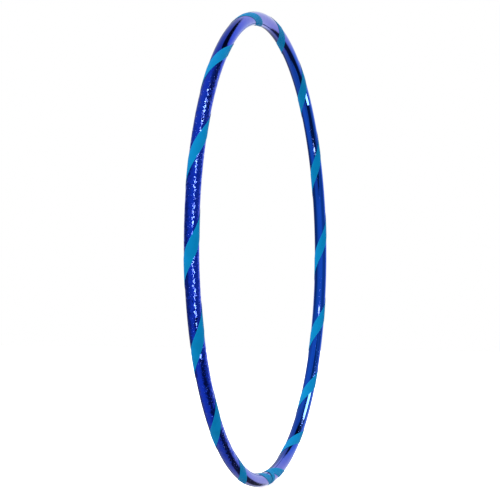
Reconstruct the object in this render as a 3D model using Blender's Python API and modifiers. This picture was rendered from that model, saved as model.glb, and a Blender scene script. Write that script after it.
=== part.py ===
"""Taped rhythmic hoop that comes apart at a push-button coupling.

Metres, +Z up. The hoop stands upright in the XZ plane, with its centre at the origin and its
axis along Y. An angle round the hoop runs from +X towards +Z. An angle round the tube's section
is 0 on the hoop's outer side, 90 on its front (-Y) and 180 on its inner side.

The pipe is one springy length. Here it is two rigid halves that part at the very top, and the
hinge there stands for the bending of the whole pipe.
"""

import math

import bmesh
import bpy
from mathutils import Matrix, Vector

# Hoop and pipe
RING_RADIUS = 0.444
TUBE_RADIUS = 0.0125
TUBE_WALL = 0.0023
SIDES = 12
STEPS_PER_TURN = 96
CLEARANCE = 0.0003

# Angles round the hoop, in degrees: the pipe's halves meet at the top, and its ends at the seam
TOP = 90.0
SEAM = 270.3

# Film and tape, each a thin sleeve over the one below
FILM_RADIUS = 0.0130
FILM_THICKNESS = 0.00025
TAPE_RADIUS = 0.0134
TAPE_THICKNESS = 0.0003
TAPE_WIDTH = 0.018
TRIM = 0.0006

# The stripe is wound by hand: where each turn crosses the hoop's front, in degrees
TURN_ANGLES = (278, 300, 322, 343, 367, 391, 416, 441, 462.5, 489, 514, 537, 557.5, 580, 604, 629)
STRIPE_SPAN = 5.7
STRIPE_COLUMNS = 3
ROWS_PER_TURN = SIDES

# Coupling spigot, riveted in the fixed half and slid into the free one
SPIGOT_RADIUS = 0.0094
SPIGOT_WALL = 0.0020
SPIGOT_IN_FIXED = 0.070
SPIGOT_IN_FREE = 0.032
SPIGOT_STEPS = 7

# Snap button and its leaf spring, on the hoop's back (+Y)
BUTTON_FROM_SEAM = 0.0125
BUTTON_RADIUS = 0.0030
BUTTON_FLANGE_RADIUS = 0.0042
BUTTON_FLANGE = (0.0046, 0.0054)
BUTTON_TIP = 0.0149
BUTTON_DOME = 0.0016
SPIGOT_HOLE_RADIUS = 0.0033
LOCK_HOLE_RADIUS = 0.0035
LEAF_THICKNESS = 0.0004
LEAF_WIDTH = 0.006
LEAF_LENGTH = 0.021
LEAF_TOP = 0.0041
LEAF_FOOT = -0.0057

# Blind rivets, on the hoop's back
RIVETS_FROM_SEAM = (0.029, 0.054)
RIVET_RADIUS = 0.0020
RIVET_HOLE_RADIUS = 0.0023
RIVET_HEAD_RADIUS = 0.0038
RIVET_HEAD = (0.0129, 0.0141)
RIVET_BULB_RADIUS = 0.0030
RIVET_BULB = (0.0044, 0.0060)

BLUE_FILM = ((0.004, 0.018, 0.300), 0.18, 1.0)
TEAL_TAPE = ((0.000, 0.300, 0.560), 0.50, 0.0)
BLACK_PIPE = ((0.012, 0.012, 0.013), 0.35, 0.0)
BLACK_NYLON = ((0.020, 0.020, 0.021), 0.45, 0.0)
PLATED_STEEL = ((0.560, 0.560, 0.570), 0.28, 1.0)
SPRING_STEEL = ((0.350, 0.350, 0.360), 0.35, 1.0)
ALUMINIUM = ((0.780, 0.780, 0.790), 0.30, 1.0)


def clear_scene():
    for obj in list(bpy.data.objects):
        bpy.data.objects.remove(obj, do_unlink=True)


def new_collection(name):
    collection = bpy.data.collections.new(name)
    bpy.context.scene.collection.children.link(collection)
    return collection


def degrees_of(length):
    """The angle that a length along the pipe's centreline takes."""
    return math.degrees(length / RING_RADIUS)


def centreline(angle):
    a = math.radians(angle)
    return Vector((RING_RADIUS * math.cos(a), 0, RING_RADIUS * math.sin(a)))


def on_tube(angle, around, radius):
    """The point at this angle round the hoop and round the tube, this far from the centreline."""
    a, b = math.radians(angle), math.radians(around)
    out = RING_RADIUS + radius * math.cos(b)
    return Vector((out * math.cos(a), -radius * math.sin(b), out * math.sin(a)))


def material(name, finish):
    colour, roughness, metallic = finish
    made = bpy.data.materials.new(name)
    made.use_nodes = True
    shader = made.node_tree.nodes["Principled BSDF"]
    shader.inputs["Base Color"].default_value = (*colour, 1)
    shader.inputs["Roughness"].default_value = roughness
    shader.inputs["Metallic"].default_value = metallic
    return made


def object_from(name, bm, collection):
    mesh = bpy.data.meshes.new(name)
    bm.to_mesh(mesh)
    bm.free()
    obj = bpy.data.objects.new(name, mesh)
    collection.objects.link(obj)
    return obj


def solidify(obj, thickness, offset):
    modifier = obj.modifiers.new("Solidify", "SOLIDIFY")
    modifier.thickness = thickness
    modifier.offset = offset
    modifier.use_even_offset = True


def screw(obj, axis, angle, steps, merge=False):
    modifier = obj.modifiers.new("Screw", "SCREW")
    modifier.axis = axis
    modifier.angle = math.radians(angle)
    modifier.steps = steps
    modifier.render_steps = steps
    modifier.use_merge_vertices = merge
    modifier.merge_threshold = 0.00001


def cut(obj, cutter):
    modifier = obj.modifiers.new("Hole", "BOOLEAN")
    modifier.operation = "DIFFERENCE"
    modifier.solver = "EXACT"
    modifier.object = cutter


def sleeve(name, low, high, radius, wall, steps, collection):
    """A hollow tube bent round the hoop between two angles: a section swept by a Screw."""
    bm = bmesh.new()
    section = [
        bm.verts.new((RING_RADIUS + radius * math.cos(b), -radius * math.sin(b), 0))
        for b in (math.tau * (side + 0.5) / SIDES for side in range(SIDES))
    ]
    for here, there in zip(section, section[1:] + section[:1]):
        bm.edges.new((here, there))
    obj = object_from(name, bm, collection)
    # The Screw turns about +Y, which runs down the angles round the hoop.
    obj.rotation_euler.y = -math.radians(high)
    screw(obj, "Y", high - low, steps)
    solidify(obj, wall, -1)
    return obj


def steps_between(low, high):
    return max(1, round((high - low) / 360 * STEPS_PER_TURN))


def long_sleeve(name, low, high, radius, wall, collection):
    return sleeve(name, low, high, radius, wall, steps_between(low, high), collection)


def turned(name, profile, at, steps, collection):
    """A piece turned about the +Y line through the pipe's centreline; heights are along +Y."""
    bm = bmesh.new()
    points = [bm.verts.new((radius, 0, height)) for radius, height in profile]
    for here, there in zip(points, points[1:]):
        bm.edges.new((here, there))
    obj = object_from(name, bm, collection)
    obj.location = centreline(at)
    obj.rotation_euler.x = -math.pi / 2
    screw(obj, "Z", 360, steps, merge=True)
    return obj


def hole_cutter(name, at, radius, collection):
    """A cylinder through the back wall only, from inside the bore to outside the tape."""
    low, high = 0.003, 0.020
    profile = ((0, high), (radius, high), (radius, low), (0, low))
    obj = turned(name, profile, at, 16, collection)
    obj.hide_render = True
    obj.display_type = "WIRE"
    return obj


def stripe_centre(turn):
    """The stripe's angle round the hoop after so many turns: a smooth curve through TURN_ANGLES."""
    first = min(max(math.floor(turn), 0), len(TURN_ANGLES) - 2)
    last = len(TURN_ANGLES) - 1
    a, b = TURN_ANGLES[first], TURN_ANGLES[first + 1]
    before = TURN_ANGLES[first - 1] if first > 0 else 2 * a - b
    after = TURN_ANGLES[first + 2] if first + 2 <= last else 2 * b - a
    t = turn - first
    if t < 0 or t > 1:
        return a + (b - a) * t
    slope_a, slope_b = (b - before) / 2, (after - a) / 2
    return (
        a * (1 + 2 * t) * (1 - t) ** 2
        + b * (3 - 2 * t) * t**2
        + slope_a * t * (1 - t) ** 2
        - slope_b * t**2 * (1 - t)
    )


def stripe(name, low, high, collection):
    """The helical stripe between two angles, cut square there. Its rows run along the tube."""
    rows = [row + 0.5 for row in range(-ROWS_PER_TURN, ROWS_PER_TURN * (len(TURN_ANGLES) + 1))]
    turns = [row / ROWS_PER_TURN for row in rows]
    inside = [
        index
        for index, turn in enumerate(turns)
        if low < stripe_centre(turn) + STRIPE_SPAN / 2 and stripe_centre(turn) - STRIPE_SPAN / 2 < high
    ]
    turns = turns[inside[0] - 1 : inside[-1] + 2]
    bm = bmesh.new()
    bmesh.ops.create_grid(bm, x_segments=STRIPE_COLUMNS, y_segments=len(turns) - 1, size=0.5)
    for vert in bm.verts:
        across = vert.co.x
        turn = turns[round((vert.co.y + 0.5) * (len(turns) - 1))]
        angle = min(max(stripe_centre(turn) + across * STRIPE_SPAN, low), high)
        vert.co = on_tube(angle, 90 - 360 * turn, TAPE_RADIUS)
    bmesh.ops.remove_doubles(bm, verts=bm.verts, dist=0.00001)
    bmesh.ops.recalc_face_normals(bm, faces=bm.faces)
    obj = object_from(name, bm, collection)
    solidify(obj, TAPE_THICKNESS, 1)
    return obj


def leaf_path():
    """The leaf's bend seen from the hoop's centre: under the button, round the nose, to its foot."""
    nose_radius = (LEAF_TOP - LEAF_FOOT) / 2
    middle = (LEAF_TOP + LEAF_FOOT) / 2
    path = [(BUTTON_FLANGE_RADIUS, LEAF_TOP)]
    for step in range(9):
        turn = math.pi * (0.5 + step / 8)
        path.append((-LEAF_LENGTH + nose_radius * math.cos(turn), middle + nose_radius * math.sin(turn)))
    path.append((0, LEAF_FOOT))
    return path


def leaf_spring(name, at, collection):
    curve = bpy.data.curves.new(name, "CURVE")
    curve.dimensions = "2D"
    curve.fill_mode = "NONE"
    curve.extrude = LEAF_WIDTH / 2
    path = leaf_path()
    spline = curve.splines.new("POLY")
    spline.points.add(len(path) - 1)
    for point, (along, height) in zip(spline.points, path):
        point.co = (along, height, 0, 1)
    obj = bpy.data.objects.new(name, curve)
    collection.objects.link(obj)
    obj.location = centreline(at)
    obj.rotation_euler.y = -math.radians(at + 90)
    solidify(obj, LEAF_THICKNESS, 0)
    return obj


def axis_empty(name, location):
    empty = bpy.data.objects.new(name, None)
    empty.location = location
    bpy.context.scene.collection.objects.link(empty)
    return empty


def hang_on(parent, children):
    for child in children:
        child.parent = parent
        child.matrix_parent_inverse = Matrix.Translation(parent.location).inverted()


def finish(obj, made_of):
    obj.data.materials.append(made_of)


def fixed_half(parts, cutters, finishes):
    """The half on the -X side, with the spigot, its rivets and the leaf spring."""
    low, high = TOP + degrees_of(CLEARANCE / 2), SEAM - degrees_of(CLEARANCE / 2)
    wrap_high = high - degrees_of(TRIM)
    pipe = long_sleeve("tube_fixed_half", low, high, TUBE_RADIUS, TUBE_WALL, parts)
    film = long_sleeve("film_wrap_fixed_half", low, wrap_high, FILM_RADIUS, FILM_THICKNESS, parts)
    tape = stripe("stripe_tape_fixed_half", low + 360, wrap_high + 360, parts)
    spigot_low = SEAM - degrees_of(SPIGOT_IN_FIXED)
    spigot_high = SEAM + degrees_of(SPIGOT_IN_FREE)
    spigot = sleeve(
        "coupling_spigot", spigot_low, spigot_high, SPIGOT_RADIUS, SPIGOT_WALL, SPIGOT_STEPS, parts
    )
    finish(pipe, finishes["pipe"])
    finish(film, finishes["film"])
    finish(tape, finishes["tape"])
    finish(spigot, finishes["nylon"])
    for number, from_seam in enumerate(RIVETS_FROM_SEAM, 1):
        at = SEAM - degrees_of(from_seam)
        hole = hole_cutter(f"rivet_hole_{number}", at, RIVET_HOLE_RADIUS, cutters)
        for piece in (pipe, film, spigot):
            cut(piece, hole)
        finish(rivet(f"coupling_rivet_{number}", at, parts), finishes["aluminium"])
    button_at = SEAM + degrees_of(BUTTON_FROM_SEAM)
    cut(spigot, hole_cutter("spigot_button_hole", button_at, SPIGOT_HOLE_RADIUS, cutters))
    finish(leaf_spring("snap_button_spring", button_at, parts), finishes["spring"])


def free_half(parts, cutters, finishes):
    """The half on the +X side, which slides off the spigot; all of it hangs on the hinge's empty."""
    low, high = SEAM + degrees_of(CLEARANCE / 2), TOP + 360 - degrees_of(CLEARANCE / 2)
    wrap_low = low + degrees_of(TRIM)
    band_high = wrap_low + degrees_of(TAPE_WIDTH)
    pipe = long_sleeve("tube_free_half", low, high, TUBE_RADIUS, TUBE_WALL, parts)
    film = long_sleeve("film_wrap_free_half", wrap_low, high, FILM_RADIUS, FILM_THICKNESS, parts)
    band_radius = TAPE_RADIUS + TAPE_THICKNESS
    band = sleeve("end_band_tape", wrap_low, band_high, band_radius, TAPE_THICKNESS, 2, parts)
    tape = stripe("stripe_tape_free_half", band_high + degrees_of(CLEARANCE), high, parts)
    finish(pipe, finishes["pipe"])
    finish(film, finishes["film"])
    finish(band, finishes["tape"])
    finish(tape, finishes["tape"])
    button_at = SEAM + degrees_of(BUTTON_FROM_SEAM)
    hole = hole_cutter("lock_hole", button_at, LOCK_HOLE_RADIUS, cutters)
    for piece in (pipe, film, band):
        cut(piece, hole)
    hinge = axis_empty("hoop_opening_axis", on_tube(TOP, 0, TAPE_RADIUS + TAPE_THICKNESS))
    hang_on(hinge, (pipe, film, band, tape))


def snap_button(parts, finishes):
    """The domed steel button; its own origin is on the line that it slides along."""
    flange_low, flange_high = BUTTON_FLANGE
    shoulder = BUTTON_TIP - BUTTON_DOME
    dome = [
        (BUTTON_RADIUS * math.sin(a), shoulder + BUTTON_DOME * math.cos(a))
        for a in (math.pi / 2 * step / 4 for step in range(5))
    ]
    profile = dome + [
        (BUTTON_RADIUS, flange_high),
        (BUTTON_FLANGE_RADIUS, flange_high),
        (BUTTON_FLANGE_RADIUS, flange_low),
        (0, flange_low),
    ]
    button = turned("snap_button", profile, SEAM + degrees_of(BUTTON_FROM_SEAM), 20, parts)
    finish(button, finishes["steel"])


def rivet(name, at, parts):
    """A set blind rivet: domed head outside, shank through both walls, swelled end inside."""
    head_low, head_high = RIVET_HEAD
    bulb_low, bulb_high = RIVET_BULB
    height = head_high - head_low
    dome = [
        (RIVET_HEAD_RADIUS * math.sin(a), head_low + height * math.cos(a))
        for a in (math.pi / 2 * step / 4 for step in range(5))
    ]
    profile = dome + [
        (RIVET_RADIUS, head_low),
        (RIVET_RADIUS, bulb_high),
        (RIVET_BULB_RADIUS, bulb_high),
        (RIVET_RADIUS, bulb_low),
        (0, bulb_low),
    ]
    return turned(name, profile, at, 16, parts)


def main():
    clear_scene()
    parts = new_collection("rhythmic_hoop")
    cutters = new_collection("cutters")
    finishes = {
        "film": material("blue_film", BLUE_FILM),
        "tape": material("teal_tape", TEAL_TAPE),
        "pipe": material("black_pipe", BLACK_PIPE),
        "nylon": material("black_nylon", BLACK_NYLON),
        "steel": material("plated_steel", PLATED_STEEL),
        "spring": material("spring_steel", SPRING_STEEL),
        "aluminium": material("aluminium", ALUMINIUM),
    }
    fixed_half(parts, cutters, finishes)
    free_half(parts, cutters, finishes)
    snap_button(parts, finishes)
    for obj in parts.objects:
        if obj.type == "MESH":
            obj.data.shade_smooth()


main()
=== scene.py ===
"""Looks of the taped rhythmic hoop: film, tape, pipe ends and push-button coupling.

Metres, +Z up. The hoop stands in the XZ plane with its centre at the origin. An angle round the
hoop runs from +X towards +Z. An angle round the tube's section is 0 on the hoop's outer side,
90 on its front (-Y) and 180 on its inner side.

The pipe, its film and its stripe are springy, so the real hoop's top arc bends between the two halves
when it opens. Here that arc is a piece of its own, and the arcs below it ride on one half each.
"""

import math

import bmesh
import bpy
from mathutils import Matrix, Vector, noise


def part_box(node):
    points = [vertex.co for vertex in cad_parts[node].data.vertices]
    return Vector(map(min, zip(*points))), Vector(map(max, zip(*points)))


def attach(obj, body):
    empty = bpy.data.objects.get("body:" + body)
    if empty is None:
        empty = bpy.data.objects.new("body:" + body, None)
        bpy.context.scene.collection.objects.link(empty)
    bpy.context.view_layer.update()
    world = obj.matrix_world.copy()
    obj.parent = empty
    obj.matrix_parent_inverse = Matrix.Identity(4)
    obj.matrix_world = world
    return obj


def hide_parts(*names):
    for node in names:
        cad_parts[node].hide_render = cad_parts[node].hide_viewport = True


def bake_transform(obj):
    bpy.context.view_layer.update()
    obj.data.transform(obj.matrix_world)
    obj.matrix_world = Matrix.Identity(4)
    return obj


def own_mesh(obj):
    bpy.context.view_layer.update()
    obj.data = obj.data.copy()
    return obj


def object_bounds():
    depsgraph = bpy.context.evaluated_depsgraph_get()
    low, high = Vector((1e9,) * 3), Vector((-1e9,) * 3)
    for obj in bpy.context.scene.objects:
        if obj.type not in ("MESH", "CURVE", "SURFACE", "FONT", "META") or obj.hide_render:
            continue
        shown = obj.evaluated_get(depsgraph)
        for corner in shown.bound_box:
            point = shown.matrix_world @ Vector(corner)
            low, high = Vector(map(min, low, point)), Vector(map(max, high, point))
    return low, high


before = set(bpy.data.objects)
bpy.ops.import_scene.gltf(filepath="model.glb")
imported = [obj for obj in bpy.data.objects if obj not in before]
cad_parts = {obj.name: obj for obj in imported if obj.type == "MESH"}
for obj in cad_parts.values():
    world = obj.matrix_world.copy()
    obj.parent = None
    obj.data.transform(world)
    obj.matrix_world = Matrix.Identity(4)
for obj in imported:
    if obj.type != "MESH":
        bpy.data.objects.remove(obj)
cad_low, cad_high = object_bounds()

# What the CAD model was drawn with. The stripe was wound by hand, so the angles at which its turns
# cross the tube's front are a list, and its span is how many degrees of the hoop it covers.
CAD_SIDES = 12
TUBE_WALL = 0.0023
SEAM = 270.3
CLEARANCE = 0.0003
TAPE_WIDTH = 0.018
TURN_ANGLES = (278, 300, 322, 343, 367, 391, 416, 441, 462.5, 489, 514, 537, 557.5, 580, 604, 629)
STRIPE_SPAN = 5.7
SPIGOT_WALL = 0.0020
SPIGOT_IN_FIXED = 0.070
SPIGOT_IN_FREE = 0.032
BUTTON_FROM_SEAM = 0.0125
RIVETS_FROM_SEAM = (0.029, 0.054)
RIVET_HOLE_RADIUS = 0.0023
SPIGOT_HOLE_RADIUS = 0.0033
LOCK_HOLE_RADIUS = 0.0035
LEAF_FOOT = -0.0057
LEAF_TOP = 0.0041

# The top arc, which bends when the hoop is opened
TOP = 90.0
BEND_HALF_ANGLE = 44.0

# How far the film and the tape stop short of the pipe's two ends, and how much those ends taper
TRIM = 0.0020
END_TAPER = 0.0010
PIPE_SIDES = 48

# Film: a 25 mm strip wound with an overlap. Its columns of points are at shares of the pitch.
FILM_PITCH = 0.0209
FILM_STEP = 0.000015
FILM_THICKNESS = 0.00012
FILM_ROWS = 56
FILM_COLUMNS = (0.0, 0.02, 0.13, 0.26, 0.39, 0.52, 0.65, 0.78, 0.90)
FILM_RIPPLE_SIZE = 0.011
FILM_RIPPLE_HEIGHT = 0.00002
CRINKLE_HEIGHT = 0.0016
SHADE_STEP = 0.618034

# Stripe and end band. Their columns of points are at shares of the width, from its middle.
TAPE_THICKNESS = 0.00020
TAPE_ROWS = 72
TAPE_COLUMNS = (-0.5, -0.49, -0.47, -0.36, -0.24, -0.12, 0, 0.12, 0.24, 0.36, 0.47, 0.49, 0.5)
TAPE_RIPPLE_SIZE = 0.014
TAPE_RIPPLE_HEIGHT = 0.00003
TAPE_WANDER = 0.05
BAND_DEPTH = 0.0003

# Linear colours of the film, the tape and the pipe. The film's violet, azure and lilac are painted
# reflection tints, and its edge colour is a painted highlight.
FILM_ROYAL = (0.007, 0.038, 0.57)
FILM_VIOLET_REFLECTION = (0.040, 0.064, 0.60)
FILM_AZURE_REFLECTION = (0.008, 0.078, 0.57)
FILM_LILAC_REFLECTION = (0.16, 0.125, 0.53)
FILM_EDGE_HIGHLIGHT = (0.008, 0.08, 0.62)
TAPE_TEAL = (0.0012, 0.213, 0.492)
TAPE_DEEP = (0.0012, 0.190, 0.437)
TAPE_PALE_EDGE = (0.010, 0.33, 0.66)
PIPE_BLACK = (0.008, 0.008, 0.009)
PIPE_RUBBED = (0.022, 0.022, 0.024)

# Camera, floor and lamps
CAMERA_AZIMUTH = -73.934
CAMERA_ELEVATION = -1.324
CAMERA_DISTANCE = 3.003
CAMERA_LENS = 111.32
CAMERA_AIM_RIGHT = -0.02954
CAMERA_AIM_UP = -0.00142
FLOOR_REACH = 6.0
FLOOR_GLOW = 0.75
LAMP_DISTANCE = 1.2

# The lamps are this warm so that the blue film mirrors them nearly white
BEAD_RADIANCE = (185, 54, 11)
BAR_RADIANCE = (62, 18, 8)
LINE_RADIANCE = (110, 16, 6)

MERGE_DISTANCE = 0.000002
SEED = Vector((11.3, 4.7, 8.1))


# ---------------------------------------------------------------- sizes read from the frame


def section_radius(node):
    """The tube-wise radius of a CAD sleeve, whose section is a polygon with a flat at each side."""
    low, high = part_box(node)
    return (high.y - low.y) / 2 / math.cos(math.pi / CAD_SIDES)


def hoop_radius():
    """The centreline's radius, from how far the pipe reaches out and how thick it is there."""
    low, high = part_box("tube_free_half")
    return high.x - (high.y - low.y) / 2


RING = hoop_radius()
PIPE_RADIUS = section_radius("tube_free_half")
FILM_RADIUS = section_radius("film_wrap_free_half")
BAND_RADIUS = section_radius("end_band_tape")
STRIPE_RADIUS = BAND_RADIUS - TAPE_THICKNESS / 2
SPIGOT_RADIUS = section_radius("coupling_spigot")
FLOOR = cad_low.z


def degrees_of(length):
    return math.degrees(length / RING)


def on_tube(angle, around, radius):
    a, b = math.radians(angle), math.radians(around)
    out = RING + radius * math.cos(b)
    return Vector((out * math.cos(a), -radius * math.sin(b), out * math.sin(a)))


FIXED_END = SEAM - degrees_of(CLEARANCE / 2)
FREE_END = SEAM + degrees_of(CLEARANCE / 2)
BUTTON_AT = SEAM + degrees_of(BUTTON_FROM_SEAM)
RIVETS_AT = [SEAM - degrees_of(length) for length in RIVETS_FROM_SEAM]


# ---------------------------------------------------------------- mesh helpers


def link(name, mesh):
    obj = bpy.data.objects.new(name, mesh)
    bpy.context.scene.collection.objects.link(obj)
    return obj


def mesh_from(name, points, faces, surface=None):
    """A smooth mesh. surface gives each point's own coordinates on the strip it belongs to."""
    mesh = bpy.data.meshes.new(name)
    mesh.from_pydata([tuple(point) for point in points], [], faces)
    rest = mesh.attributes.new("rest", "FLOAT_VECTOR", "POINT")
    rest.data.foreach_set("vector", [value for point in points for value in point])
    if surface:
        strip = mesh.attributes.new("strip", "FLOAT_VECTOR", "POINT")
        strip.data.foreach_set("vector", [value for point in surface for value in point])
    bm = bmesh.new()
    bm.from_mesh(mesh)
    bmesh.ops.remove_doubles(bm, verts=bm.verts, dist=MERGE_DISTANCE)
    bmesh.ops.dissolve_degenerate(bm, edges=bm.edges, dist=MERGE_DISTANCE)
    bmesh.ops.recalc_face_normals(bm, faces=bm.faces)
    bm.to_mesh(mesh)
    bm.free()
    mesh.shade_smooth()
    return link(name, mesh)


def sharpen(obj, degrees):
    obj.data.set_sharp_from_angle(angle=math.radians(degrees))


def apply_modifiers(obj):
    """Puts the mesh that the object's modifiers make in place of its own."""
    graph = bpy.context.evaluated_depsgraph_get()
    mesh = bpy.data.meshes.new_from_object(obj.evaluated_get(graph))
    old = obj.data
    obj.modifiers.clear()
    obj.data = mesh
    bpy.data.meshes.remove(old)


def thicken(obj, thickness):
    modifier = obj.modifiers.new("Thickness", "SOLIDIFY")
    modifier.thickness = thickness
    modifier.offset = -1
    apply_modifiers(obj)


def cut(obj, cutters):
    for cutter in cutters:
        modifier = obj.modifiers.new("Hole", "BOOLEAN")
        modifier.operation = "DIFFERENCE"
        modifier.solver = "EXACT"
        modifier.object = cutter
    apply_modifiers(obj)
    sharpen(obj, 40)


def turned(name, profile, at, sides):
    """A piece turned about the +Y line through the pipe's centreline; heights are along +Y."""
    centre = on_tube(at, 0, 0)
    points = []
    for radius, height in profile:
        for side in range(sides):
            turn = math.tau * side / sides
            across = Vector((radius * math.cos(turn), height, radius * math.sin(turn)))
            points.append(centre + across)
    faces = []
    for ring in range(len(profile) - 1):
        for side in range(sides):
            a, b = ring * sides + side, ring * sides + (side + 1) % sides
            faces.append((a, b, b + sides, a + sides))
    return mesh_from(name, points, faces)


def hole_cutter(at, radius):
    """A plug through the back of the tube only."""
    low, high = 0.003, 0.020
    return turned("cutter", ((0, high), (radius, high), (radius, low), (0, low)), at, 48)


def loft(name, loops, closed=True):
    """Joins loops of equal length: closed joins the last to the first too, or else both are capped."""
    size, count = len(loops[0]), len(loops)
    points = [point for loop in loops for point in loop]
    faces = []
    for row in range(count if closed else count - 1):
        here, there = row * size, (row + 1) % count * size
        for side in range(size):
            following = (side + 1) % size
            faces.append((here + side, here + following, there + following, there + side))
    if not closed:
        faces.append(tuple(range(size)))
        faces.append(tuple(reversed(range((count - 1) * size, count * size))))
    return mesh_from(name, points, faces)


# ---------------------------------------------------------------- pipe and spigot


def sleeve(name, low, high, radius, wall, chamfer, step=1.0):
    """A hollow tube bent round the hoop, with chamfered rims at both ends."""
    ease = degrees_of(chamfer)
    deburr = min(chamfer, 0.0003)
    steps = max(2, round((high - low) / step))
    angles = [low + ease + (high - low - 2 * ease) * index / steps for index in range(steps + 1)]
    inner = radius - wall
    profile = [(low, radius - chamfer)]
    profile += [(angle, radius) for angle in angles]
    profile += [(high, radius - chamfer), (high, inner + deburr)]
    profile += [(angle, inner) for angle in reversed(angles)]
    profile += [(low, inner + deburr)]
    loops = [
        [on_tube(angle, 360 * side / PIPE_SIDES, reach) for side in range(PIPE_SIDES)]
        for angle, reach in profile
    ]
    made = loft(name, loops)
    sharpen(made, 50)
    return made


# ---------------------------------------------------------------- film


def wound_angle(turn, along, around):
    """How far round the hoop a point of the helix lies. along is its share of the pitch."""
    return degrees_of((turn + around / 360 + along) * FILM_PITCH)


def ripple(point, size, height):
    return height * noise.noise(point / size + SEED)


def film(name, low, high):
    """The film between two angles: its overlaps run round the tube in a helix."""
    pitch = degrees_of(FILM_PITCH)
    first = math.floor(low / pitch) - 2
    last = math.ceil(high / pitch) + 1
    columns = [(turn, along) for turn in range(first, last) for along in FILM_COLUMNS]
    points, surface, beyond = [], [], []
    for turn, along in columns:
        # A turn steps up at its free edge, and falls from there to where the next turn covers it.
        lift = FILM_STEP * (1 - along) if along else 0
        for row in range(FILM_ROWS + 1):
            around = 360 * row / FILM_ROWS
            angle = wound_angle(turn, along, around)
            held = min(max(angle, low), high)
            uneven = ripple(on_tube(held, around, FILM_RADIUS), FILM_RIPPLE_SIZE, FILM_RIPPLE_HEIGHT)
            points.append(on_tube(held, around, FILM_RADIUS - FILM_STEP + lift + uneven))
            surface.append((turn + around / 360, along, (turn * SHADE_STEP) % 1))
            beyond.append((angle > high) - (angle < low))
    rows = FILM_ROWS + 1
    faces = []
    for column in range(len(columns) - 1):
        for row in range(FILM_ROWS):
            a, b = column * rows + row, (column + 1) * rows + row
            face = (a, a + 1, b + 1, b)
            # A face that lies wholly beyond one of the two angles is left out.
            if abs(sum(beyond[corner] for corner in face)) < len(face):
                faces.append(face)
    made = mesh_from(name, points, faces, surface)
    thicken(made, FILM_THICKNESS)
    return made


# ---------------------------------------------------------------- tape


def stripe_centre(turn):
    """The stripe's angle round the hoop after so many turns: a smooth curve through TURN_ANGLES."""
    first = min(max(math.floor(turn), 0), len(TURN_ANGLES) - 2)
    last = len(TURN_ANGLES) - 1
    a, b = TURN_ANGLES[first], TURN_ANGLES[first + 1]
    before = TURN_ANGLES[first - 1] if first > 0 else 2 * a - b
    after = TURN_ANGLES[first + 2] if first + 2 <= last else 2 * b - a
    t = turn - first
    if t < 0 or t > 1:
        return a + (b - a) * t
    slope_a, slope_b = (b - before) / 2, (after - a) / 2
    return (
        a * (1 + 2 * t) * (1 - t) ** 2
        + b * (3 - 2 * t) * t**2
        + slope_a * t * (1 - t) ** 2
        - slope_b * t**2 * (1 - t)
    )


def tape_drop(across):
    """How far below its full height the tape's face lies: its edges are pressed down a little."""
    flat = 0.47
    edge = max(0.0, (abs(across) - flat) / (0.5 - flat))
    return 0.45 * TAPE_THICKNESS * edge**2


def stripe(name, low, high):
    """The helical stripe between two angles, cut square there."""
    half = STRIPE_SPAN / 2
    margin = 1
    turns = []
    for row in range(-TAPE_ROWS, TAPE_ROWS * (len(TURN_ANGLES) + 1) + 1):
        turn = row / TAPE_ROWS
        centre = stripe_centre(turn)
        if low - margin < centre + half and centre - half < high + margin:
            turns.append(turn)
    points, surface = [], []
    for turn in turns:
        centre = stripe_centre(turn)
        wander = TAPE_WANDER * noise.noise(Vector((turn * 9, 3, 7)) + SEED)
        around = 90 - 360 * turn
        for across in TAPE_COLUMNS:
            angle = min(max(centre + across * STRIPE_SPAN + wander, low), high)
            uneven = ripple(on_tube(angle, around, STRIPE_RADIUS), TAPE_RIPPLE_SIZE, TAPE_RIPPLE_HEIGHT)
            points.append(on_tube(angle, around, STRIPE_RADIUS - tape_drop(across) + uneven))
            surface.append((turn, across, 0))
    width = len(TAPE_COLUMNS)
    faces = []
    for row in range(len(turns) - 1):
        for column in range(width - 1):
            a = row * width + column
            faces.append((a, a + 1, a + 1 + width, a + width))
    made = mesh_from(name, points, faces, surface)
    thicken(made, TAPE_THICKNESS)
    sharpen(made, 40)
    return made


def end_band(name, low, high):
    """A ring of tape, one tape width wide, round the free end."""
    sides = 96
    span = high - low
    profile = [(across + 0.5, BAND_RADIUS - tape_drop(across)) for across in TAPE_COLUMNS]
    profile += [(1.0, BAND_RADIUS - BAND_DEPTH), (0.0, BAND_RADIUS - BAND_DEPTH)]
    loops = [
        [on_tube(low + share * span, 360 * side / sides, reach) for side in range(sides)]
        for share, reach in profile
    ]
    made = loft(name, loops)
    strip = made.data.attributes.new("strip", "FLOAT_VECTOR", "POINT")
    values = []
    for vert in made.data.vertices:
        x, y, z = vert.co
        around = math.degrees(math.atan2(-y, math.hypot(x, z) - RING))
        angle = math.degrees(math.atan2(z, x)) % 360
        values += [around / 360, (angle - low) / span - 0.5, 0]
    strip.data.foreach_set("vector", values)
    sharpen(made, 40)
    return made


# ---------------------------------------------------------------- materials


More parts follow.
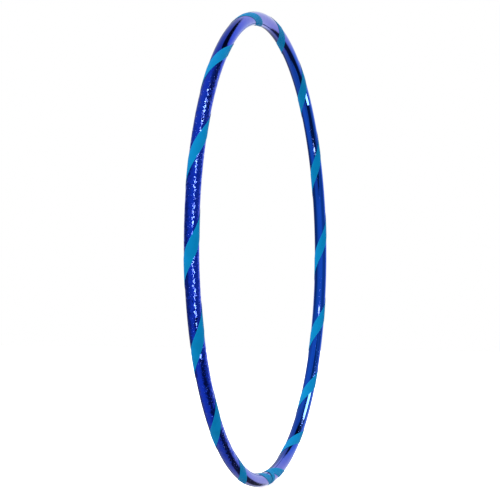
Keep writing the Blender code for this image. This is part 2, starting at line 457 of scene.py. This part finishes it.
class Graph:
    """Adds nodes to a node tree. A value given for an input may be a number, a tuple or a socket."""

    def __init__(self, tree):
        self.tree = tree

    def feed(self, socket, value):
        if isinstance(value, bpy.types.NodeSocket):
            self.tree.links.new(value, socket)
        else:
            socket.default_value = value

    def add(self, kind, inputs=None, **settings):
        node = self.tree.nodes.new(kind)
        for key, value in settings.items():
            setattr(node, key, value)
        for key, value in (inputs or {}).items():
            self.feed(node.inputs[key], value)
        return node

    def math(self, operation, *values, clamp=False):
        inputs = dict(enumerate(values))
        return self.add("ShaderNodeMath", inputs, operation=operation, use_clamp=clamp).outputs[0]

    def vector(self, operation, a, b):
        outputs = self.add("ShaderNodeVectorMath", {0: a, 1: b}, operation=operation).outputs
        return outputs["Value" if operation == "DOT_PRODUCT" else "Vector"]

    def blend(self, factor, a, b):
        """a where factor is 0 and b where it is 1."""
        node = self.add("ShaderNodeMix", data_type="RGBA")
        for name, kind, value in (("Factor", "VALUE", factor), ("A", "RGBA", a), ("B", "RGBA", b)):
            socket = next(s for s in node.inputs if s.name == name and s.type == kind)
            self.feed(socket, (*value, 1) if isinstance(value, tuple) else value)
        return next(s for s in node.outputs if s.type == "RGBA")

    def ramp(self, value, low, high, to_low=0.0, to_high=1.0, smooth=True):
        kind = "SMOOTHSTEP" if smooth else "LINEAR"
        inputs = {"Value": value, "From Min": low, "From Max": high, "To Min": to_low, "To Max": to_high}
        return self.add("ShaderNodeMapRange", inputs, interpolation_type=kind).outputs["Result"]

    def attribute(self, name):
        return self.add("ShaderNodeAttribute", attribute_name=name).outputs["Vector"]

    def parts(self, vector):
        return self.add("ShaderNodeSeparateXYZ", {"Vector": vector}).outputs

    def noise(self, vector, scale, detail=2.0, roughness=0.5, distortion=0.0, output="Fac"):
        inputs = {"Vector": vector, "Scale": scale, "Detail": detail}
        inputs.update({"Roughness": roughness, "Distortion": distortion})
        return self.add("ShaderNodeTexNoise", inputs).outputs[output]

    def bump(self, height, strength, distance, normal=None):
        inputs = {"Height": height, "Strength": strength, "Distance": distance}
        if normal is not None:
            inputs["Normal"] = normal
        return self.add("ShaderNodeBump", inputs).outputs["Normal"]


def new_material(name, colour, roughness, metallic):
    made = bpy.data.materials.new(name)
    made.use_nodes = True
    made.diffuse_color = (*colour, 1)
    shader = made.node_tree.nodes["Principled BSDF"].inputs
    shader["Base Color"].default_value = (*colour, 1)
    shader["Roughness"].default_value = roughness
    shader["Metallic"].default_value = metallic
    return made, Graph(made.node_tree), shader


def film_hue_and_painted_reflections(graph, rest, position, upright):
    """The film's blue, which drifts along the hoop and a little from turn to turn, with painted
    reflections and a painted highlight.
    """
    strip = graph.parts(graph.attribute("strip"))
    across, shade = strip["Y"], strip["Z"]
    cloud = graph.ramp(graph.noise(rest, 24.0, 3.0), 0.3, 0.7, -0.16, 0.16)
    turn = graph.ramp(shade, 0.0, 1.0, 0.8, 1.0, smooth=False)
    # Painted reflection: a violet tint towards the hoop's top and bottom, a little weaker on some turns
    # than on others
    violet_reflection = graph.math("MULTIPLY", graph.ramp(upright, 0.375, 0.435), turn)
    # Painted reflection tint: azure on the hoop's far side (+X) and royal on its near side, with a noise
    # cloud moving the border
    azure_reflection = graph.math("ADD", graph.ramp(position["X"], -0.25, 0.25), cloud, clamp=True)
    colour = graph.blend(violet_reflection, FILM_ROYAL, FILM_VIOLET_REFLECTION)
    colour = graph.blend(azure_reflection, colour, FILM_AZURE_REFLECTION)
    # Painted reflection: lilac at the hoop's top and bottom, where the film mirrors the bright ceiling
    # and floor
    colour = graph.blend(graph.ramp(upright, 0.395, 0.45, 0.0, 0.8), colour, FILM_LILAC_REFLECTION)
    # Painted highlight: a paler blue line along each turn's free edge, broken up by noise
    edge = graph.ramp(across, 0.0, 0.035, 0.6, 0.0)
    broken = graph.ramp(graph.noise(rest, 160.0, 1.0), 0.45, 0.62)
    return graph.blend(graph.math("MULTIPLY", edge, broken), colour, FILM_EDGE_HIGHLIGHT)


def film_crinkle(graph, rest, position):
    """The film's relief: facets tilted each its own way, with folds, a fine grain and broad waves."""
    warp = graph.noise(rest, 260.0, 1.0, output="Color")
    shift = graph.vector("MULTIPLY", warp, (0.0016, 0.0016, 0.0016))
    moved = graph.vector("ADD", rest, shift)
    cells = graph.add("ShaderNodeTexVoronoi", {"Vector": moved, "Scale": 230.0}).outputs
    tilt = graph.vector("SUBTRACT", cells["Color"], (0.5, 0.5, 0.5))
    from_cell = graph.vector("SUBTRACT", moved, cells["Position"])
    height = graph.math("MULTIPLY", graph.vector("DOT_PRODUCT", tilt, from_cell), 180.0)
    folds = graph.noise(rest, 240.0, 1.0)
    grain = graph.noise(rest, 1100.0, 1.0)
    for layer, share in ((folds, 0.35), (grain, 0.02)):
        height = graph.math("ADD", height, graph.math("MULTIPLY", layer, share))

    # The side where the hoop is held is the most crinkled
    from_middle = graph.math("ABSOLUTE", graph.math("ADD", position["Z"], 0.04))
    handled = graph.ramp(from_middle, 0.29, 0.38, 1.0, 0.03)
    side = graph.ramp(position["X"], -0.20, 0.20, 1.0, 0.04)
    height = graph.math("MULTIPLY", height, graph.math("MULTIPLY", handled, side))
    waves = graph.noise(rest, 110.0, 1.0)
    height = graph.math("ADD", height, graph.math("MULTIPLY", waves, 0.05))
    return graph.bump(height, 1.0, CRINKLE_HEIGHT)


def film_material():
    """Blue mirror film, crinkled and faceted at about 4 mm."""
    made, graph, shader = new_material("blue_mirror_film", FILM_AZURE_REFLECTION, 0.08, 1.0)
    rest = graph.attribute("rest")
    position = graph.parts(rest)
    upright = graph.math("ABSOLUTE", position["Z"])
    graph.feed(shader["Base Color"], film_hue_and_painted_reflections(graph, rest, position, upright))
    graph.feed(shader["Normal"], film_crinkle(graph, rest, position))
    rough = graph.ramp(graph.noise(rest, 60.0, 4.0, 0.65), 0.3, 0.75, 0.04, 0.09)
    graph.feed(shader["Roughness"], rough)
    shader["Specular Tint"].default_value = (0.85, 0.92, 1.0, 1.0)
    return made


def tape_material():
    """Satin cloth tape: a fine weave, slightly paler along its edges."""
    made, graph, shader = new_material("teal_cloth_tape", TAPE_TEAL, 0.42, 0.0)
    rest = graph.attribute("rest")
    strip = graph.parts(graph.attribute("strip"))
    turn, across = strip["X"], strip["Y"]

    cloud = graph.noise(rest, 45.0, 4.0, 0.6)
    colour = graph.blend(graph.ramp(cloud, 0.3, 0.7), TAPE_TEAL, TAPE_DEEP)
    # The tape is slightly paler along its edges
    edge = graph.ramp(graph.math("ABSOLUTE", across), 0.455, 0.49)
    colour = graph.blend(graph.math("MULTIPLY", edge, 0.75), colour, TAPE_PALE_EDGE)
    graph.feed(shader["Base Color"], colour)

    # Threads: about 0.55 mm apart both ways, with sine waves in the strip's own coordinates
    lengthwise = graph.math("SINE", graph.math("MULTIPLY", across, math.tau * 33))
    crosswise = graph.math("SINE", graph.math("MULTIPLY", turn, math.tau * 165))
    weave = graph.math("MULTIPLY", lengthwise, crosswise)
    fibres = graph.noise(rest, 1500.0, 2.0, 0.6)
    height = graph.math("ADD", graph.math("MULTIPLY", weave, 0.25), fibres)
    soft = graph.bump(graph.noise(rest, 120.0, 2.0), 0.5, 0.0004)
    graph.feed(shader["Normal"], graph.bump(height, 0.35, 0.00010, soft))
    rough = graph.ramp(graph.noise(rest, 80.0, 4.0, 0.6), 0.3, 0.7, 0.40, 0.55)
    graph.feed(shader["Roughness"], rough)
    shader["Specular IOR Level"].default_value = 0.02
    return made


def plastic_material(name, colour, paler, roughness, line_scale):
    """Extruded or moulded black plastic with fine lines along it and rubbed patches."""
    made, graph, shader = new_material(name, colour, roughness, 0.0)
    rest = graph.attribute("rest")
    rub = graph.noise(rest, 180.0, 5.0, 0.65, 0.4)
    graph.feed(shader["Base Color"], graph.blend(graph.ramp(rub, 0.45, 0.75), colour, paler))

    # The lines depend only on where a point is in the tube's section
    position = graph.parts(rest)
    squares = [graph.math("MULTIPLY", position[axis], position[axis]) for axis in "XZ"]
    radial = graph.math("SQRT", graph.math("ADD", *squares))
    section = graph.add("ShaderNodeCombineXYZ", {"X": radial, "Y": position["Y"]})
    lines = graph.noise(section.outputs["Vector"], line_scale, 3.0, 0.6)
    speck = graph.noise(rest, 2200.0, 2.0)
    height = graph.math("ADD", lines, graph.math("MULTIPLY", speck, 0.25))
    graph.feed(shader["Normal"], graph.bump(height, 0.25, 0.0002))
    graph.feed(shader["Roughness"], graph.ramp(rub, 0.3, 0.7, roughness - 0.06, roughness + 0.10))
    shader["Specular IOR Level"].default_value = 0.18
    return made


def metal_material(name, colour, darker, roughness, scratch_scale):
    """Bare or plated metal with fine scratches and slight tarnish."""
    made, graph, shader = new_material(name, colour, roughness, 1.0)
    rest = graph.attribute("rest")
    stain = graph.noise(rest, 420.0, 4.0, 0.65)
    graph.feed(shader["Base Color"], graph.blend(graph.ramp(stain, 0.40, 0.80), colour, darker))
    stretched = graph.add("ShaderNodeMapping", {"Vector": rest, "Scale": (1.0, 9.0, 1.0)})
    scratch = graph.noise(stretched.outputs["Vector"], scratch_scale, 3.0, 0.7)
    graph.feed(shader["Normal"], graph.bump(scratch, 0.18, 0.0001))
    graph.feed(shader["Roughness"], graph.ramp(scratch, 0.3, 0.7, roughness - 0.07, roughness + 0.10))
    return made


# ---------------------------------------------------------------- coupling


def leaf_path(reach, length):
    """The leaf's middle line, as distances along the tube from the button and heights along +Y."""
    nose = (LEAF_TOP - LEAF_FOOT) / 2
    middle = (LEAF_TOP + LEAF_FOOT) / 2
    path = [(reach + (-length - reach) * step / 14, LEAF_TOP) for step in range(15)]
    for step in range(1, 25):
        turn = math.pi * (0.5 + step / 24)
        path.append((-length + nose * math.cos(turn), middle + nose * math.sin(turn)))
    path += [(-length + length * step / 12, LEAF_FOOT) for step in range(1, 13)]
    return path


def leaf_section(width, thickness):
    """The strip's section: a rectangle with its corners taken off."""
    side, up = width / 2, thickness / 2
    off = thickness * 0.3
    return (
        (-side + off, up),
        (side - off, up),
        (side, up - off),
        (side, -up + off),
        (side - off, -up),
        (-side + off, -up),
        (-side, -up + off),
        (-side, up - off),
    )


def leaf_spring(name):
    """A bent strip inside the spigot: under the button, round the nose and back to its foot."""
    path = leaf_path(0.0042, 0.021)
    section = leaf_section(0.006, 0.0004)
    origin = on_tube(BUTTON_AT, 0, 0)
    heading = math.radians(BUTTON_AT + 90)
    tangent = Vector((math.cos(heading), 0, math.sin(heading)))
    back = Vector((0, 1, 0))
    sideways = tangent.cross(back)
    loops = []
    for index, (along, height) in enumerate(path):
        before = path[max(index - 1, 0)]
        after = path[min(index + 1, len(path) - 1)]
        run = Vector((after[0] - before[0], after[1] - before[1])).normalized()
        normal = Vector((-run.y, run.x))
        loop = []
        for side, up in section:
            middle = origin + tangent * (along + normal.x * up) + back * (height + normal.y * up)
            loop.append(middle + sideways * side)
        loops.append(loop)
    made = loft(name, loops, closed=False)
    sharpen(made, 40)
    return made


def snap_button(name):
    low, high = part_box("snap_button")
    radius, dome, steps = 0.0030, 0.0016, 12
    flange, flange_height = 0.0042, 0.0008
    ease = 0.00012
    profile = []
    for step in range(steps + 1):
        turn = math.pi / 2 * step / steps
        profile.append((radius * math.sin(turn), high.y - dome + dome * math.cos(turn)))
    profile += [
        (radius, low.y + flange_height),
        (flange - ease, low.y + flange_height),
        (flange, low.y + flange_height - ease),
        (flange, low.y + ease),
        (flange - ease, low.y),
        (0, low.y),
    ]
    made = turned(name, profile, BUTTON_AT, 64)
    sharpen(made, 40)
    return made


def rivet(name, node, at):
    """A blind rivet: a domed head outside, a shank and a bulb inside."""
    low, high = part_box(node)
    head, head_height, ease = 0.0038, 0.0012, 0.00008
    shank = 0.0020
    bulb, bulb_height = 0.0030, 0.0016
    dimple, dimple_rim, dimple_depth = 0.0007, 0.0009, 0.00035
    head_low, bulb_high = high.y - head_height, low.y + bulb_height
    # The mandrel's broken end sits in a small dimple at the middle of the head.
    profile = [(0, high.y - dimple_depth), (dimple, high.y - dimple_depth), (dimple_rim, high.y - ease)]
    for step in range(11):
        turn = math.pi / 2 * (0.2 + 0.8 * step / 10)
        profile.append((head * math.sin(turn), head_low + (high.y - head_low) * math.cos(turn)))
    profile += [(head - 0.0001, head_low - ease), (shank, head_low - ease), (shank, bulb_high)]
    for step in range(9):
        turn = math.pi / 2 * (0.8 - 1.6 * step / 8)
        rise = (bulb_high - low.y) / 2 * math.sin(turn)
        profile.append((bulb * math.cos(turn), (bulb_high + low.y) / 2 + rise))
    profile += [(0, low.y)]
    made = turned(name, profile, at, 48)
    sharpen(made, 50)
    return made


# ---------------------------------------------------------------- build


def remove(objects):
    for obj in objects:
        bpy.data.objects.remove(obj, do_unlink=True)


def place(obj, material, nodes, body=None):
    """Gives a piece its material and hides the CAD nodes it stands for. With a body it is parented to
    that body's empty, and without one its placement is baked into its mesh.
    """
    obj.data.materials.clear()
    obj.data.materials.append(material)
    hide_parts(*nodes)
    if body:
        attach(obj, body)
    else:
        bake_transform(obj)


def build_hoop():
    film_blue = film_material()
    tape_teal = tape_material()
    pipe_black = plastic_material("black_pipe", PIPE_BLACK, PIPE_RUBBED, 0.46, 900.0)
    nylon = plastic_material("black_nylon", (0.020, 0.020, 0.021), (0.05, 0.05, 0.052), 0.42, 500.0)
    steel = metal_material("plated_steel", (0.62, 0.62, 0.63), (0.46, 0.46, 0.46), 0.24, 700.0)
    spring = metal_material("spring_steel", (0.36, 0.36, 0.37), (0.24, 0.23, 0.23), 0.32, 900.0)
    aluminium = metal_material("aluminium", (0.78, 0.78, 0.79), (0.60, 0.60, 0.61), 0.30, 800.0)

    wrap_fixed_end = FIXED_END - degrees_of(TRIM)
    wrap_free_end = FREE_END + degrees_of(TRIM)
    band_end = wrap_free_end + degrees_of(TAPE_WIDTH)
    top_low, top_high = TOP - BEND_HALF_ANGLE, TOP + BEND_HALF_ANGLE

    rivet_cutters = [hole_cutter(at, RIVET_HOLE_RADIUS) for at in RIVETS_AT]
    lock_cutter = hole_cutter(BUTTON_AT, LOCK_HOLE_RADIUS)
    spigot_cutter = hole_cutter(BUTTON_AT, SPIGOT_HOLE_RADIUS)

    # Pipe
    pipe_fixed = sleeve("pipe_fixed_half", top_high, FIXED_END, PIPE_RADIUS, TUBE_WALL, END_TAPER)
    pipe_top = sleeve("pipe_top", top_low, top_high, PIPE_RADIUS, TUBE_WALL, END_TAPER)
    pipe_free = sleeve("pipe_free_half", FREE_END - 360, top_low, PIPE_RADIUS, TUBE_WALL, END_TAPER)
    cut(pipe_fixed, rivet_cutters)
    cut(pipe_free, [lock_cutter])
    place(pipe_fixed, pipe_black, ["tube_fixed_half"], "fixed_half")
    place(pipe_top, pipe_black, ["tube_fixed_half", "tube_free_half"])
    place(pipe_free, pipe_black, ["tube_free_half"], "free_half")

    # Film
    film_fixed = film("film_fixed_half", top_high, wrap_fixed_end)
    film_top = film("film_top", top_low, top_high)
    film_free = film("film_free_half", wrap_free_end - 360, top_low)
    cut(film_fixed, rivet_cutters)
    cut(film_free, [lock_cutter])
    place(film_fixed, film_blue, ["film_wrap_fixed_half"], "fixed_half")
    place(film_top, film_blue, ["film_wrap_fixed_half", "film_wrap_free_half"])
    place(film_free, film_blue, ["film_wrap_free_half"], "free_half")

    # Stripe and end band
    stripe_free = stripe("stripe_free_half", band_end + degrees_of(CLEARANCE), top_low + 360)
    stripe_top = stripe("stripe_top", top_low + 360, top_high + 360)
    stripe_fixed = stripe("stripe_fixed_half", top_high + 360, wrap_fixed_end + 360)
    place(stripe_free, tape_teal, ["stripe_tape_free_half"], "free_half")
    place(stripe_top, tape_teal, ["stripe_tape_fixed_half", "stripe_tape_free_half"])
    place(stripe_fixed, tape_teal, ["stripe_tape_fixed_half"], "fixed_half")
    band = end_band("end_band", wrap_free_end, band_end)
    cut(band, [lock_cutter])
    place(band, tape_teal, ["end_band_tape"], "free_half")

    # Coupling
    spigot_low = SEAM - degrees_of(SPIGOT_IN_FIXED)
    spigot_high = SEAM + degrees_of(SPIGOT_IN_FREE)
    spigot = sleeve("spigot", spigot_low, spigot_high, SPIGOT_RADIUS, SPIGOT_WALL, 0.0006, 0.5)
    cut(spigot, rivet_cutters + [spigot_cutter])
    place(spigot, nylon, ["coupling_spigot"], "fixed_half")
    for number, at in enumerate(RIVETS_AT, 1):
        node = f"coupling_rivet_{number}"
        place(rivet(f"rivet_{number}", node, at), aluminium, [node], "fixed_half")
    place(snap_button("button"), steel, ["snap_button"], "button")
    leaf = leaf_spring("button_spring")
    place(leaf, spring, ["snap_button_spring"], "fixed_half")
    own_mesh(leaf)

    remove(rivet_cutters + [lock_cutter, spigot_cutter])


# ---------------------------------------------------------------- camera, floor and light


def view_axes():
    """Towards the camera, and the picture's right, both level."""
    a = math.radians(CAMERA_AZIMUTH)
    back = Vector((math.sin(a), -math.cos(a), 0))
    right = Vector((math.cos(a), math.sin(a), 0))
    return back, right


def add_camera():
    back, right = view_axes()
    e = math.radians(CAMERA_ELEVATION)
    outward = back * math.cos(e) + Vector((0, 0, math.sin(e)))
    data = bpy.data.cameras.new("camera")
    data.lens = CAMERA_LENS
    data.sensor_width = 36
    camera = bpy.data.objects.new("camera", data)
    bpy.context.scene.collection.objects.link(camera)
    camera.location = outward * CAMERA_DISTANCE
    aim = right * CAMERA_AIM_RIGHT + Vector((0, 0, CAMERA_AIM_UP))
    camera.rotation_euler = (aim - camera.location).to_track_quat("-Z", "Y").to_euler()
    bpy.context.scene.camera = camera


def add_floor():
    mesh = bpy.data.meshes.new("floor")
    corners = [(-1, -1), (1, -1), (1, 1), (-1, 1)]
    mesh.from_pydata([(x * FLOOR_REACH, y * FLOOR_REACH, FLOOR) for x, y in corners], [], [(0, 1, 2, 3)])
    floor = link("floor", mesh)
    made, graph, shader = new_material("pale_floor", (0.92, 0.92, 0.93), 0.8, 0.0)
    position = graph.add("ShaderNodeTexCoord").outputs["Object"]
    tone = graph.blend(graph.noise(position, 3.0, 3.0), (0.90, 0.90, 0.91), (0.94, 0.94, 0.95))
    graph.feed(shader["Base Color"], tone)
    shader["Emission Color"].default_value = (1, 1, 1, 1)
    shader["Emission Strength"].default_value = FLOOR_GLOW
    floor.data.materials.append(made)
    floor.visible_glossy = False
    floor.visible_diffuse = False
    floor.visible_shadow = False


class Sky:
    """The studio round the hoop, as bright and dark areas in the directions they are seen in."""

    def __init__(self, graph, base):
        self.graph = graph
        self.level = base
        direction = graph.add("ShaderNodeTexCoord").outputs["Generated"]
        back, right = view_axes()
        forward = graph.vector("DOT_PRODUCT", direction, tuple(back))
        self.rightward = graph.vector("DOT_PRODUCT", direction, tuple(right))
        upward = graph.vector("DOT_PRODUCT", direction, (0, 0, 1))
        turn = graph.math("ARCTAN2", self.rightward, forward)
        self.azimuth = graph.math("MULTIPLY", turn, 180 / math.pi)
        self.elevation = graph.math("MULTIPLY", graph.math("ARCSINE", upward), 180 / math.pi)

    def between(self, value, low, high, soft):
        rise = self.graph.ramp(value, low - soft / 2, low + soft / 2)
        fall = self.graph.ramp(value, high - soft / 2, high + soft / 2, 1.0, 0.0)
        return self.graph.math("MULTIPLY", rise, fall)

    def area(self, level, azimuths, elevations, soft, soft_up):
        """A grey patch between two bearings (from the camera's, to the picture's right) and heights."""
        across = self.between(self.azimuth, *azimuths, soft)
        upright = self.between(self.elevation, *elevations, soft_up)
        mask = self.graph.math("MULTIPLY", across, upright)
        self.level = self.graph.blend(mask, self.level, grey(level))


def grey(value):
    return (value, value, value)


def add_studio():
    world = bpy.data.worlds.new("studio")
    world.use_nodes = True
    world.cycles.sampling_method = "NONE"
    bpy.context.scene.world = world
    graph = Graph(world.node_tree)
    sky = Sky(graph, grey(0.58))
    # Ceiling and floor bounce on the left, and a dark backdrop low behind it
    sky.area(0.80, (-125, 20), (42, 95), 24, 14)
    sky.area(0.75, (-122, -12), (-80, -40), 24, 12)
    sky.area(0.24, (-180, -68), (-30, 20), 30, 14)
    sky.area(0.85, (-174, -130), (1, 13), 10, 4)
    # The bright front of the room, and its dimmer right side
    sky.area(0.82, (-38, 30), (-27, 36), 28, 10)
    sky.area(0.44, (44, 106), (-22, 28), 16, 10)
    # Dark ceiling and floor on the right, with black corners
    sky.area(0.24, (26, 124), (40, 76), 14, 10)
    sky.area(0.09, (6, 116), (-68, -30), 12, 6)
    sky.area(0.10, (84, 134), (26, 58), 12, 8)
    sky.area(0.02, (116, 162), (43, 73), 10, 6)
    sky.area(0.05, (106, 160), (-60, -26), 12, 8)
    sky.area(0.06, (138, 168), (-50, -22), 8, 5)
    # The white sweep behind the hoop on the right
    sky.area(1.10, (122, 178), (-20, 43), 8, 8)
    sky.area(1.05, (108, 130), (-9, 12), 8, 6)
    # Diffuse surfaces see a plain soft sky, brighter above and on the left
    height = graph.ramp(sky.elevation, -60, 60)
    left = graph.blend(height, grey(0.78), grey(1.86))
    right = graph.blend(height, grey(0.54), grey(1.28))
    plain = graph.blend(graph.ramp(sky.rightward, -1, 1), left, right)
    rays = graph.add("ShaderNodeLightPath").outputs
    level = graph.blend(rays["Is Glossy Ray"], plain, sky.level)
    final = graph.blend(rays["Is Camera Ray"], level, grey(1.0))
    graph.feed(world.node_tree.nodes["Background"].inputs["Color"], final)


def mirrored(angle, around):
    """A spot on the film, and the direction that the camera sees mirrored there."""
    spot = on_tube(angle, around, FILM_RADIUS)
    normal = (spot - on_tube(angle, 0, 0)).normalized()
    ray = (spot - bpy.context.scene.camera.location).normalized()
    return spot, ray - 2 * ray.dot(normal) * normal


def catch_light(receiver, angle, around, size, radiance):
    """A small lamp, for that piece of film alone, whose highlight falls on that spot of it.

    size is the lamp's width in the tube's round direction, then in the hoop's.
    """
    spot, direction = mirrored(angle, around)
    across = mirrored(angle, around + 1)[1] - direction
    across = (across - across.dot(direction) * direction).normalized()
    data = bpy.data.lights.new("catch_light", "AREA")
    data.shape = "RECTANGLE"
    data.size, data.size_y = size
    data.color = [value / max(radiance) for value in radiance]
    data.energy = max(radiance) * math.pi * size[0] * size[1]
    light = bpy.data.objects.new("catch_light", data)
    axes = Matrix((across, direction.cross(across), direction)).transposed()
    light.matrix_world = Matrix.Translation(spot + direction * LAMP_DISTANCE) @ axes.to_4x4()
    light.visible_camera = False
    light.light_linking.receiver_collection = receiver
    bpy.context.scene.collection.objects.link(light)


def lit_alone(name):
    """A collection of one piece of film, for the lamps that light nothing else."""
    made = bpy.data.collections.new("lit_alone")
    made.objects.link(bpy.data.objects[name])
    return made


def add_lamps():
    near, far, top = (lit_alone(f"film_{part}") for part in ("fixed_half", "free_half", "top"))
    # A row of small lamps, whose highlights the crinkles of the near side break into glints
    for angle in range(148, 200, 6):
        catch_light(near, angle, 28, (0.18, 0.14), BEAD_RADIANCE)
    # Compact lamps whose highlights fall on the smooth far side
    catch_light(far, -47.8, 138, (0.62, 0.26), BAR_RADIANCE)
    catch_light(far, -16.7, 163, (0.45, 0.05), LINE_RADIANCE)
    catch_light(far, 31.4, 158, (0.45, 0.05), LINE_RADIANCE)
    catch_light(top, 48.7, 135, (0.60, 0.12), BAR_RADIANCE)


build_hoop()
add_camera()
add_floor()
add_studio()
add_lamps()
bpy.context.scene.view_settings.view_transform = "Standard"
